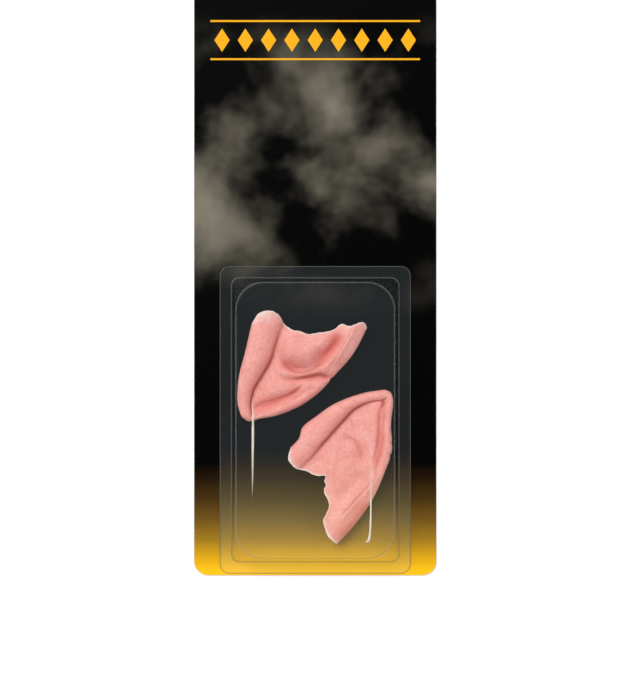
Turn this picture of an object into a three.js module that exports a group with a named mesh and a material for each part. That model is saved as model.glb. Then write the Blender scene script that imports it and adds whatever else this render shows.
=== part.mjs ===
// A pair of latex elf ear tips, right and left, packed flat under a clear blister on a plain card.
// Millimetres, +Z up. The pack lies on its back: X runs across the card, Y up to its head and
// Z out of its face. The origin is the middle of the card's back.

import * as THREE from "three";

// Ear tips. Length runs from the tip to the mouth, width across the mouth, depth off the card.
const EAR_LENGTH = 72;
const EAR_WIDTH = 48.3;
const EAR_DEPTH = 14.5;
const LATEX_WALL = 1.2;
const LATEX_EDGE = 0.7; // wall at the feathered mouth
const CAVITY_START = 0.2; // share of the way from the tip to the mouth
const LEAST_CAVITY = 0.6; // gap left between the two walls in the deepest fold
const BACK_SETBACK = 1.6; // how far the back wall stops short of the front wall
const RIM_ROUND = 4.6; // rounding of the back edge
const UNDER_ROUND = 5.2; // rounding of the underside at both edges
const ROLL_TUCK = 35; // degrees that the helix roll turns in under itself
const ROLL_SQUARENESS = 0.75; // 1 is a half round roll, and less is squarer

// Shares of an ear's length, of its section's width or of its section's height
const TIP_LENGTH = 0.09; // where the tip rounds off
const FEATHER_START = 0.85; // where the wall starts to thin towards the mouth
const MOST_RIM_ROUND = 0.25;
const MOST_UNDER_ROUND = 0.3;
const WIDEST_LEVEL = 0.45; // height where the helix and back edges stand out furthest
const FLOOR_RISE_START = 0.6; // where the floor starts to rise to the back rim
const CREASE_REACH = 0.15; // how far from the crease folds start to act in full
const FOLD_FADE = 0.25; // share of a fold's path over which it fades out at each end
const CREASE_SHARPNESS = 5; // power by which the floor drops to the crease
const MOUTH_BEND = 3; // power by which the sections bend towards the mouth's cut line

// How the pair lies in the blister
const RIGHT_EAR_TURN = -32; // degrees from tip-down
const LEFT_EAR_TURN = 141;
const PAIR_GAP = 1.6;
const PAIR_STEP = 0.66; // how far up the right ear the left ear's tip lies, as a share of length
const EAR_LIFT = 0.3; // clearance under each ear

// Blister
const FILM = 0.4;
const SIDE_ROOM = 2.1; // from the ears to the inside of the bubble
const FOOT_ROOM = 7.9;
const HEAD_ROOM = 15.2;
const TOP_ROOM = 5.6;
const BUBBLE_DRAFT = 1.7; // how far the face is drawn in from the base
const BUBBLE_BASE_CORNER = 3.4;
const BUBBLE_FACE_CORNER = 13.5;
const BUBBLE_EDGE_ROUND = 1.4;
const BUBBLE_FOOT_ROUND = 0.8;
const FLANGE_RIM = 5.8;
const FLANGE_CORNER = 4.5;

// Card
const CARD_THICKNESS = 0.6;
const CARD_CORNER = 6.6;
const CARD_SIDE_MARGIN = 12.1;
const CARD_FOOT_MARGIN = 0.8;
const CARD_HEAD_MARGIN = 133.4;

// Mesh fineness
const RINGS = 33;
const FIRST_RING = 0.012; // share of the way from the tip to the mouth
const RING_CROWDING = 1.15; // rings lie closer together towards the tip
const ROLL_STEPS = 11;
const FLOOR_STEPS = 17;
const RIM_STEPS = 5;
const UNDER_STEPS = 9;
const CORNER_STEPS = 8;
const FILM_ROUND_STEPS = 3;
const STEPS_PER_FOLD = 16;

// Sections of an ear from the tip, at 0, to the mouth, at 1. The helix and back edges are places
// seen from the front, as shares of the ear's width (x) and length (y) from the tip. roll is the
// helix roll's width as a share of the section's. The heights of the roll's top, the crease inside
// it, the floor and the back rim are shares of the ear's depth. tuck is a share of ROLL_TUCK.
const SECTION_COLUMNS = [
  "at", "helixX", "helixY", "backX", "backY", "roll", "top", "crease", "floor", "rim", "tuck",
];

// Cut line of the mouth, across from the helix edge to the back edge: how far beyond the last
// section it runs, or short of it, as a share of the ear's length.
const MOUTH_COLUMNS = ["across", "beyond"];

// Folds are ridges, above 0, and grooves, below 0. rise is a share of the ear's depth and halfWidth
// of its width. A path's places are shares of the ear's width and length from the tip.
const RIGHT_EAR = {
  sections: namedRows(SECTION_COLUMNS, [
    [0.0, 0, 0, 0, 0, 0.5, 0.5, 0.49, 0.49, 0.48, 0],
    [0.02, -0.048, 0.002, 0.034, 0.011, 0.5, 0.51, 0.5, 0.5, 0.48, 0],
    [0.08, -0.08, 0.01, 0.09, 0.055, 0.46, 0.54, 0.48, 0.49, 0.48, 0],
    [0.13, -0.12, 0.031, 0.155, 0.093, 0.38, 0.57, 0.35, 0.41, 0.48, 0],
    [0.2, -0.17, 0.063, 0.225, 0.14, 0.33, 0.61, 0.26, 0.37, 0.48, 0],
    [0.35, -0.25, 0.15, 0.36, 0.267, 0.28, 0.68, 0.24, 0.4, 0.5, 0.6],
    [0.5, -0.313, 0.243, 0.447, 0.408, 0.29, 0.78, 0.25, 0.45, 0.5, 1],
    [0.65, -0.358, 0.342, 0.49, 0.564, 0.29, 0.87, 0.32, 0.52, 0.53, 1],
    [0.8, -0.406, 0.439, 0.528, 0.718, 0.28, 0.94, 0.42, 0.58, 0.58, 0.9],
    [0.9, -0.439, 0.503, 0.526, 0.822, 0.27, 0.98, 0.48, 0.58, 0.6, 0.7],
    [1.0, -0.472, 0.568, 0.513, 0.928, 0.27, 1.0, 0.52, 0.56, 0.6, 0.4],
  ]),
  mouth: namedRows(MOUTH_COLUMNS, [
    [0, 0],
    [0.05, 0.055],
    [0.14, 0.075],
    [0.22, 0.062],
    [0.27, 0.015],
    [0.3, -0.015],
    [0.42, -0.046],
    [0.53, -0.056],
    [0.62, -0.042],
    [0.71, -0.018],
    [0.79, 0.02],
    [0.85, 0.013],
    [0.93, 0.037],
    [0.98, 0.033],
    [1, 0],
  ]),
  folds: [
    {
      name: "bowl swell",
      rise: 0.2,
      halfWidth: 0.18,
      path: [[-0.22, 0.62], [-0.02, 0.58], [0.15, 0.61], [0.26, 0.8]],
    },
    {
      name: "bowl foot",
      rise: -0.16,
      halfWidth: 0.055,
      path: [[-0.15, 0.5], [0.02, 0.455], [0.15, 0.455], [0.28, 0.53], [0.335, 0.66], [0.345, 0.8]],
    },
    {
      name: "bowl pocket",
      rise: -0.16,
      halfWidth: 0.06,
      path: [[0.2, 0.53], [0.28, 0.64], [0.315, 0.72], [0.33, 0.82]],
    },
    {
      name: "upper fold",
      rise: 0.15,
      halfWidth: 0.042,
      path: [
        [-0.1, 0.38], [0.06, 0.4], [0.2, 0.445], [0.34, 0.545], [0.39, 0.68], [0.385, 0.86], [0.36, 1],
      ],
    },
    {
      name: "fold crease",
      rise: -0.2,
      halfWidth: 0.042,
      path: [[0.02, 0.32], [0.18, 0.39], [0.3, 0.47], [0.38, 0.51], [0.54, 0.53]],
    },
    {
      name: "lower swell",
      rise: 0.12,
      halfWidth: 0.075,
      path: [[-0.02, 0.2], [0.07, 0.28], [0.2, 0.36], [0.34, 0.46]],
    },
    {
      name: "rim groove",
      rise: -0.2,
      halfWidth: 0.05,
      path: [[-0.05, 0.05], [0.06, 0.15], [0.16, 0.24], [0.24, 0.32], [0.3, 0.43]],
    },
  ],
};

const LEFT_EAR = {
  sections: namedRows(SECTION_COLUMNS, [
    [0.0, 0, 0, 0, 0, 0.48, 0.5, 0.49, 0.49, 0.48, 0],
    [0.02, -0.044, 0.009, 0.042, 0.014, 0.46, 0.51, 0.5, 0.5, 0.48, 0],
    [0.08, -0.083, 0.03, 0.1, 0.055, 0.4, 0.54, 0.47, 0.48, 0.49, 0],
    [0.13, -0.125, 0.059, 0.143, 0.102, 0.33, 0.57, 0.34, 0.43, 0.49, 0],
    [0.2, -0.18, 0.101, 0.208, 0.167, 0.27, 0.58, 0.27, 0.42, 0.48, 0],
    [0.35, -0.282, 0.201, 0.369, 0.29, 0.25, 0.66, 0.26, 0.45, 0.5, 0.5],
    [0.5, -0.362, 0.308, 0.458, 0.449, 0.25, 0.74, 0.29, 0.49, 0.51, 0.8],
    [0.65, -0.412, 0.425, 0.522, 0.61, 0.25, 0.8, 0.35, 0.53, 0.53, 0.7],
    [0.8, -0.449, 0.544, 0.545, 0.776, 0.25, 0.84, 0.43, 0.56, 0.56, 0.4],
    [0.9, -0.41, 0.615, 0.542, 0.889, 0.23, 0.85, 0.48, 0.56, 0.58, 0.1],
    [1.0, -0.418, 0.696, 0.526, 0.997, 0.22, 0.84, 0.51, 0.54, 0.58, 0],
  ]),
  mouth: namedRows(MOUTH_COLUMNS, [
    [0, 0],
    [0.04, 0.026],
    [0.09, 0.043],
    [0.13, 0.041],
    [0.21, 0.012],
    [0.25, -0.022],
    [0.345, -0.081],
    [0.375, -0.125],
    [0.415, -0.108],
    [0.46, -0.109],
    [0.485, -0.086],
    [0.6, -0.075],
    [0.67, -0.05],
    [0.74, 0.005],
    [0.82, 0.021],
    [0.9, 0.023],
    [0.97, 0.01],
    [1, 0],
  ]),
  folds: [
    {
      name: "cheek hollow",
      rise: -0.07,
      halfWidth: 0.07,
      path: [[-0.13, 0.41], [-0.01, 0.405], [0.1, 0.415], [0.18, 0.44], [0.25, 0.5]],
    },
    {
      name: "inner rim line",
      rise: -0.08,
      halfWidth: 0.03,
      path: [[-0.01, 0.1], [0.1, 0.195], [0.2, 0.28], [0.27, 0.36], [0.32, 0.45]],
    },
    {
      name: "outer rim line",
      rise: -0.1,
      halfWidth: 0.04,
      path: [[-0.02, 0.06], [0.08, 0.143], [0.19, 0.245], [0.27, 0.325], [0.34, 0.41], [0.45, 0.51]],
    },
    {
      name: "rim fold",
      rise: 0.09,
      halfWidth: 0.05,
      path: [[0.36, 0.47], [0.385, 0.6], [0.38, 0.71], [0.385, 0.8], [0.36, 0.95]],
    },
    {
      name: "inner slope",
      rise: -0.07,
      halfWidth: 0.06,
      path: [[0.28, 0.52], [0.28, 0.65], [0.27, 0.8]],
    },
  ],
};

const LATEX = new THREE.MeshStandardMaterial({ color: 0xf0a79c, roughness: 0.55, metalness: 0 });
const CLEAR_FILM = new THREE.MeshStandardMaterial({
  color: 0xc8dce1,
  roughness: 0.08,
  metalness: 0,
  transparent: true,
  opacity: 0.18,
});
const PRINTED_BOARD = new THREE.MeshStandardMaterial({ color: 0x14100a, roughness: 0.4, metalness: 0 });

// A table as a list of rows whose values go by the names of their columns.
function namedRows(columns, rows) {
  return rows.map((row) => Object.fromEntries(columns.map((column, i) => [column, row[i]])));
}

// A column of a table at any value of its key, on a smooth curve through the rows.
function readColumn(rows, key, column, value) {
  let i = 0;
  while (i < rows.length - 2 && rows[i + 1][key] <= value) i += 1;
  const slope = (a, b) => (rows[b][column] - rows[a][column]) / (rows[b][key] - rows[a][key]);
  const span = rows[i + 1][key] - rows[i][key];
  const t = THREE.MathUtils.clamp((value - rows[i][key]) / span, 0, 1);
  const here = slope(i, i + 1);
  const before = i > 0 ? (slope(i - 1, i) + here) / 2 : here;
  const after = i < rows.length - 2 ? (slope(i + 1, i + 2) + here) / 2 : here;
  const rise = rows[i + 1][column] - rows[i][column];
  const curve = t * t * (3 - 2 * t) * rise + t * (1 - t) * span * ((1 - t) * before - t * after);
  return rows[i][column] + curve;
}

// Every column of the sections table at one place along the ear.
function readSection(sections, at) {
  const read = (column) => [column, readColumn(sections, "at", column, at)];
  return Object.fromEntries(SECTION_COLUMNS.map(read));
}

// Fold paths in millimetres, each as short straight steps.
function layFolds(folds) {
  return folds.map((fold) => {
    const knots = fold.path.map(([x, y]) => new THREE.Vector2(x * EAR_WIDTH, y * EAR_LENGTH));
    return {
      rise: fold.rise * EAR_DEPTH,
      halfWidth: fold.halfWidth * EAR_WIDTH,
      line: new THREE.SplineCurve(knots).getPoints(STEPS_PER_FOLD),
    };
  });
}

// Height that one fold adds at a place. It fades out towards both ends of its path.
function foldHeight(fold, place) {
  const steps = fold.line.length - 1;
  let nearest = Infinity;
  let along = 0;
  for (let i = 0; i < steps; i += 1) {
    const step = fold.line[i + 1].clone().sub(fold.line[i]);
    const offset = place.clone().sub(fold.line[i]);
    const share = THREE.MathUtils.clamp(offset.dot(step) / step.lengthSq(), 0, 1);
    const distance = offset.addScaledVector(step, -share).length();
    if (distance < nearest) {
      nearest = distance;
      along = (i + share) / steps;
    }
  }
  const fade = THREE.MathUtils.smoothstep(Math.min(along, 1 - along), 0, FOLD_FADE);
  return fold.rise * fade * Math.exp(-((nearest / fold.halfWidth) ** 2));
}

// The closed outline of one section, from the helix edge over the front to the back edge and home
// along the underside. Each point has its place across the section and its height.
function sectionOutline(section, chord) {
  const rollHalf = (section.roll * chord) / 2;
  const top = section.top * EAR_DEPTH;
  const floor = section.floor * EAR_DEPTH;
  const crease = section.crease * EAR_DEPTH;
  const rim = section.rim * EAR_DEPTH;
  const helixSide = top * WIDEST_LEVEL;
  const backSide = rim * WIDEST_LEVEL;
  const tuck = THREE.MathUtils.degToRad(ROLL_TUCK) * section.tuck;
  const innerSide = (crease + top * Math.sin(tuck)) / (1 + Math.sin(tuck));
  const rimRound = Math.min(RIM_ROUND, chord * MOST_RIM_ROUND);
  const underRound = Math.min(UNDER_ROUND, chord * MOST_UNDER_ROUND);
  const points = [];

  for (let i = 0; i <= ROLL_STEPS; i += 1) {
    const turn = ((Math.PI + tuck) * i) / ROLL_STEPS;
    const side = turn < Math.PI / 2 ? helixSide : innerSide;
    const squareness = turn < Math.PI ? ROLL_SQUARENESS : 1;
    const squared = (value) => Math.sign(value) * Math.abs(value) ** squareness;
    const height = side + (top - side) * squared(Math.sin(turn));
    points.push({ across: rollHalf * (1 - squared(Math.cos(turn))), height, floor: 0 });
  }
  const floorStart = points[points.length - 1].across;
  const floorEnd = chord - rimRound;
  for (let i = 1; i <= FLOOR_STEPS; i += 1) {
    const q = i / FLOOR_STEPS;
    const level = THREE.MathUtils.lerp(floor, rim, THREE.MathUtils.smoothstep(q, FLOOR_RISE_START, 1));
    points.push({
      across: THREE.MathUtils.lerp(floorStart, floorEnd, q),
      height: level - (floor - crease) * (1 - q) ** CREASE_SHARPNESS,
      floor: THREE.MathUtils.smoothstep(q, 0, CREASE_REACH),
    });
  }
  for (let i = 1; i <= RIM_STEPS; i += 1) {
    const turn = (Math.PI / 2) * (i / RIM_STEPS);
    points.push({
      across: floorEnd + rimRound * Math.sin(turn),
      height: backSide + (rim - backSide) * Math.cos(turn),
      floor: Math.cos(turn),
    });
  }
  for (let i = 1; i < UNDER_STEPS; i += 1) {
    const q = i / UNDER_STEPS;
    const across = chord * (0.5 + 0.5 * Math.cos(Math.PI * q));
    const toEdge = Math.min(across, chord - across);
    const side = across < chord / 2 ? helixSide : backSide;
    const inRound = Math.max(0, 1 - toEdge / underRound);
    points.push({ across, height: side * (1 - Math.sqrt(1 - inRound ** 2)), floor: 0, under: true });
  }
  return points;
}

// One section of the ear: where its chord lies, and its outline with the folds laid on.
function earSection(ear, folds, at) {
  const section = readSection(ear.sections, at);
  const helix = new THREE.Vector2(section.helixX * EAR_WIDTH, section.helixY * EAR_LENGTH);
  const back = new THREE.Vector2(section.backX * EAR_WIDTH, section.backY * EAR_LENGTH);
  const chord = helix.distanceTo(back);
  const side = back.clone().sub(helix).normalize();
  const forward = new THREE.Vector2(-side.y, side.x);
  const tipRound = at < TIP_LENGTH ? Math.sqrt(1 - (1 - at / TIP_LENGTH) ** 2) : 1;
  const middle = (section.rim * EAR_DEPTH) / 2;

  const outline = sectionOutline(section, chord).map((point) => {
    const u = THREE.MathUtils.clamp(point.across / Math.max(chord, 0.01), 0, 1);
    const setback = point.under ? BACK_SETBACK * Math.sin(Math.PI * u) : 0;
    const ahead = (readColumn(ear.mouth, "across", "beyond", u) * EAR_LENGTH - setback) * at ** MOUTH_BEND;
    const place = helix.clone().addScaledVector(side, point.across).addScaledVector(forward, ahead);
    let height = point.height;
    if (point.floor > 0) {
      folds.forEach((fold) => {
        height += foldHeight(fold, place) * point.floor;
      });
      height = Math.max(height, 2 * LATEX_WALL + LEAST_CAVITY);
    }
    return { ...point, ahead, height: middle + (height - middle) * tipRound };
  });
  return { helix, side, forward, outline };
}

// A section's outline as points, moved in by inset square to itself. hand is 1 for a right ear and
// -1 for a left one.
function earRing({ helix, side, forward, outline }, inset, hand) {
  const count = outline.length;
  return outline.map((point, i) => {
    const next = outline[(i + 1) % count];
    const last = outline[(i + count - 1) % count];
    const run = Math.hypot(next.across - last.across, next.height - last.height) || 1;
    const across = point.across + (inset * (next.height - last.height)) / run;
    const height = point.height - (inset * (next.across - last.across)) / run;
    const place = helix.clone().addScaledVector(side, across).addScaledVector(forward, point.ahead);
    return new THREE.Vector3(place.x * hand, place.y, height);
  });
}

// A closed surface through rings of equally many points, shut at each end by a fan to a pole.
function closedLoft(rings, firstPole, lastPole, turned) {
  const count = rings[0].length;
  const vertices = [firstPole, ...rings.flat(), lastPole];
  const last = vertices.length - 1;
  const at = (ring, point) => 1 + ring * count + (point % count);
  const faces = [];
  const face = (a, b, c) => faces.push(...(turned ? [a, c, b] : [a, b, c]));
  for (let p = 0; p < count; p += 1) {
    face(0, at(0, p + 1), at(0, p));
    face(last, at(rings.length - 1, p), at(rings.length - 1, p + 1));
    for (let r = 0; r < rings.length - 1; r += 1) {
      face(at(r, p), at(r, p + 1), at(r + 1, p + 1));
      face(at(r, p), at(r + 1, p + 1), at(r + 1, p));
    }
  }
  const geometry = new THREE.BufferGeometry().setFromPoints(vertices);
  geometry.setIndex(faces);
  geometry.computeVertexNormals();
  return geometry;
}

// Middle of a ring of points.
function ringMiddle(ring) {
  return ring.reduce((sum, point) => sum.add(point), new THREE.Vector3()).divideScalar(ring.length);
}

// A hollow ear tip with its tip at the origin and its mouth towards +Y, lying on its back.
function earTip(ear, hand) {
  const folds = layFolds(ear.folds);
  const places = Array.from({ length: RINGS }, (_, i) => {
    return FIRST_RING + (1 - FIRST_RING) * (i / (RINGS - 1)) ** RING_CROWDING;
  });
  const sections = places.map((at) => earSection(ear, folds, at));
  const outer = sections.map((section) => earRing(section, 0, hand));
  const tip = new THREE.Vector3(0, 0, ringMiddle(outer[0]).z);

  const inner = [];
  for (let r = RINGS - 1; places[r] > CAVITY_START; r -= 1) {
    const feather = THREE.MathUtils.smoothstep(places[r], FEATHER_START, 1);
    inner.push(earRing(sections[r], THREE.MathUtils.lerp(LATEX_WALL, LATEX_EDGE, feather), hand));
  }
  // The last ring of the cavity is pressed flat, its underside lower than its front, so that the
  // cavity runs out to a narrow end
  inner.at(-1).forEach((point, i) => {
    const level = sections[0].outline[i].under ? LEAST_CAVITY / 2 : LEAST_CAVITY;
    point.z = Math.min(point.z, LATEX_WALL + level);
  });
  return closedLoft([...outer, ...inner], tip, ringMiddle(inner.at(-1)), hand < 0);
}

// A rounded rectangle of points round the origin at one height.
function roundedRing(width, length, corner, height) {
  const points = [];
  for (let quarter = 0; quarter < 4; quarter += 1) {
    const signX = quarter === 0 || quarter === 3 ? 1 : -1;
    const signY = quarter < 2 ? 1 : -1;
    for (let i = 0; i <= CORNER_STEPS; i += 1) {
      const turn = (Math.PI / 2) * (quarter + i / CORNER_STEPS);
      points.push(
        new THREE.Vector3(
          signX * (width / 2 - corner) + corner * Math.cos(turn),
          signY * (length / 2 - corner) + corner * Math.sin(turn),
          height,
        ),
      );
    }
  }
  return points;
}

// One side of the blister's film, from the foot of the bubble to the edge of its face. depth is the
// height of the face over the flange, and inset is how far this side lies inside the outer one.
function filmSide(width, length, depth, inset) {
  const foot = BUBBLE_FOOT_ROUND + inset;
  const edge = BUBBLE_EDGE_ROUND - inset;
  const profile = [];
  for (let i = 0; i <= FILM_ROUND_STEPS; i += 1) {
    const turn = (Math.PI / 2) * (i / FILM_ROUND_STEPS);
    const height = BUBBLE_FOOT_ROUND - foot * Math.cos(turn);
    profile.push({ inwards: foot * Math.sin(turn) - BUBBLE_FOOT_ROUND, height });
  }
  for (let i = 0; i <= FILM_ROUND_STEPS; i += 1) {
    const turn = (Math.PI / 2) * (i / FILM_ROUND_STEPS);
    const height = depth - BUBBLE_EDGE_ROUND + edge * Math.sin(turn);
    profile.push({ inwards: BUBBLE_EDGE_ROUND - edge * Math.cos(turn), height });
  }
  return profile.map(({ inwards, height }) => {
    const rise = THREE.MathUtils.clamp(height / depth, 0, 1);
    const drawn = inwards + BUBBLE_DRAFT * rise;
    const corner = THREE.MathUtils.lerp(BUBBLE_BASE_CORNER, BUBBLE_FACE_CORNER, rise) - inwards;
    return roundedRing(width - 2 * drawn, length - 2 * drawn, corner, CARD_THICKNESS + FILM + height);
  });
}

// The clear blister: a flange that is sealed to the card, and a bubble open at the back.
function blister(width, length, depth) {
  const flange = (height) =>
    roundedRing(width + 2 * FLANGE_RIM, length + 2 * FLANGE_RIM, FLANGE_CORNER, height);
  const rings = [
    ...filmSide(width, length, depth, FILM).reverse(),
    flange(CARD_THICKNESS),
    flange(CARD_THICKNESS + FILM),
    ...filmSide(width, length, depth, 0),
  ];
  return closedLoft(rings, ringMiddle(rings[0]), ringMiddle(rings.at(-1)), false);
}

// The card, cut with round corners.
function card(width, length) {
  const [x, y, r] = [width / 2, length / 2, CARD_CORNER];
  const outline = new THREE.Shape();
  outline.absarc(x - r, y - r, r, 0, Math.PI / 2);
  outline.absarc(r - x, y - r, r, Math.PI / 2, Math.PI);
  outline.absarc(r - x, r - y, r, Math.PI, Math.PI * 1.5);
  outline.absarc(x - r, r - y, r, Math.PI * 1.5, Math.PI * 2);
  outline.closePath();
  return new THREE.ExtrudeGeometry(outline, {
    depth: CARD_THICKNESS,
    bevelEnabled: false,
    curveSegments: CORNER_STEPS,
  });
}

function namedMesh(name, geometry, material) {
  const mesh = new THREE.Mesh(geometry, material);
  mesh.name = name;
  return mesh;
}

// Lays the pair out, then sizes the blister round the ears and the card round the blister.
function buildPack() {
  const rightEar = namedMesh("right_ear_tip", earTip(RIGHT_EAR, 1), LATEX);
  const leftEar = namedMesh("left_ear_tip", earTip(LEFT_EAR, -1), LATEX);
  rightEar.rotation.z = THREE.MathUtils.degToRad(RIGHT_EAR_TURN);
  leftEar.rotation.z = THREE.MathUtils.degToRad(LEFT_EAR_TURN);
  leftEar.position
    .set(EAR_WIDTH + PAIR_GAP, PAIR_STEP * EAR_LENGTH, 0)
    .applyAxisAngle(new THREE.Vector3(0, 0, 1), rightEar.rotation.z);

  const pair = new THREE.Group().add(rightEar, leftEar);
  const span = new THREE.Box3().setFromObject(pair, true);
  const sideways = FILM + SIDE_ROOM;
  const low = new THREE.Vector2(span.min.x - sideways, span.min.y - FILM - FOOT_ROOM);
  const high = new THREE.Vector2(span.max.x + sideways, span.max.y + FILM + HEAD_ROOM);
  const bubble = high.clone().sub(low);
  const bubbleMiddle = high.clone().add(low).divideScalar(2);
  const depth = EAR_LIFT + span.max.z - span.min.z + TOP_ROOM;

  const cardWidth = bubble.x + 2 * (FLANGE_RIM + CARD_SIDE_MARGIN);
  const cardLength = bubble.y + 2 * FLANGE_RIM + CARD_FOOT_MARGIN + CARD_HEAD_MARGIN;
  const cardFoot = low.y - FLANGE_RIM - CARD_FOOT_MARGIN;
  const cardMiddle = new THREE.Vector2(bubbleMiddle.x, cardFoot + cardLength / 2);

  const clearBlister = namedMesh("blister", blister(bubble.x, bubble.y, depth), CLEAR_FILM);
  clearBlister.position.set(bubbleMiddle.x - cardMiddle.x, bubbleMiddle.y - cardMiddle.y, 0);
  pair.position.set(-cardMiddle.x, -cardMiddle.y, CARD_THICKNESS + EAR_LIFT - span.min.z);

  const backingCard = namedMesh("backing_card", card(cardWidth, cardLength), PRINTED_BOARD);
  return new THREE.Group().add(backingCard, clearBlister, pair);
}

export default buildPack();
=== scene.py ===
"""A pair of latex elf ear tips in a clear blister on a plain backing card.

Blender is in metres and the tables are in shares of the real sizes. The pack lies on its back, X
across the card, Y up to its head and Z out of its face, as in the frame that is loaded first.
"""

import itertools
import math

import bpy
import numpy as np
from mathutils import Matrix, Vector


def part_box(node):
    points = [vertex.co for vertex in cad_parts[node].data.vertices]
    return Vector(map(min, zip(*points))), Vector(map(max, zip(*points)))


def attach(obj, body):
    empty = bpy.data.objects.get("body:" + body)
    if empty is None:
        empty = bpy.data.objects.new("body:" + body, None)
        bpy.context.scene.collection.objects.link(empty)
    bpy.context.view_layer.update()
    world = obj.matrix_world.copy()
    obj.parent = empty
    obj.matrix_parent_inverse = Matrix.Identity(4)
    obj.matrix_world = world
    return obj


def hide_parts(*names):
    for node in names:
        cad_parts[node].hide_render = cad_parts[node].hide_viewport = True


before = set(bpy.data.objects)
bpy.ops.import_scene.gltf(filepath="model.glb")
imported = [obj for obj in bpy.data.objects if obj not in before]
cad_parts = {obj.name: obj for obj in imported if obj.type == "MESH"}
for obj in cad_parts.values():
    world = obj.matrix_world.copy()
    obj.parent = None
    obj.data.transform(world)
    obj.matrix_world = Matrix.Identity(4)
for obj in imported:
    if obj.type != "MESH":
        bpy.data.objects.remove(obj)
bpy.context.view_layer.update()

bl_info = {
    "name": "Elf Ear Tips in a Blister",
    "version": (1, 0, 0),
    "blender": (4, 5, 0),
    "location": "3D View > Sidebar > Ear Tips",
    "description": "Builds a pair of latex ear tips in a clear blister on a backing card",
    "category": "Object",
}

MM = 0.001

CARD_LOW, CARD_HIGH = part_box("backing_card")
BLISTER_LOW, BLISTER_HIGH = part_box("blister")

# The photo's height in pixels, the real size of one, and the place on the card at its middle
PHOTO_HEIGHT = 688
PIXEL = 0.4723 * MM
PHOTO_MIDDLE = (-0.1 * MM, -30.5 * MM)

# Sockets of Blender's Mix node when it mixes colours
MIX_FACTOR, MIX_A, MIX_B, MIX_RESULT = 0, 6, 7, 2

SECTION_COLUMNS = (
    "at", "helix_x", "helix_y", "back_x", "back_y", "roll", "top", "crease", "floor", "rim",
)
MOUTH_COLUMNS = ("across", "beyond")

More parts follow.
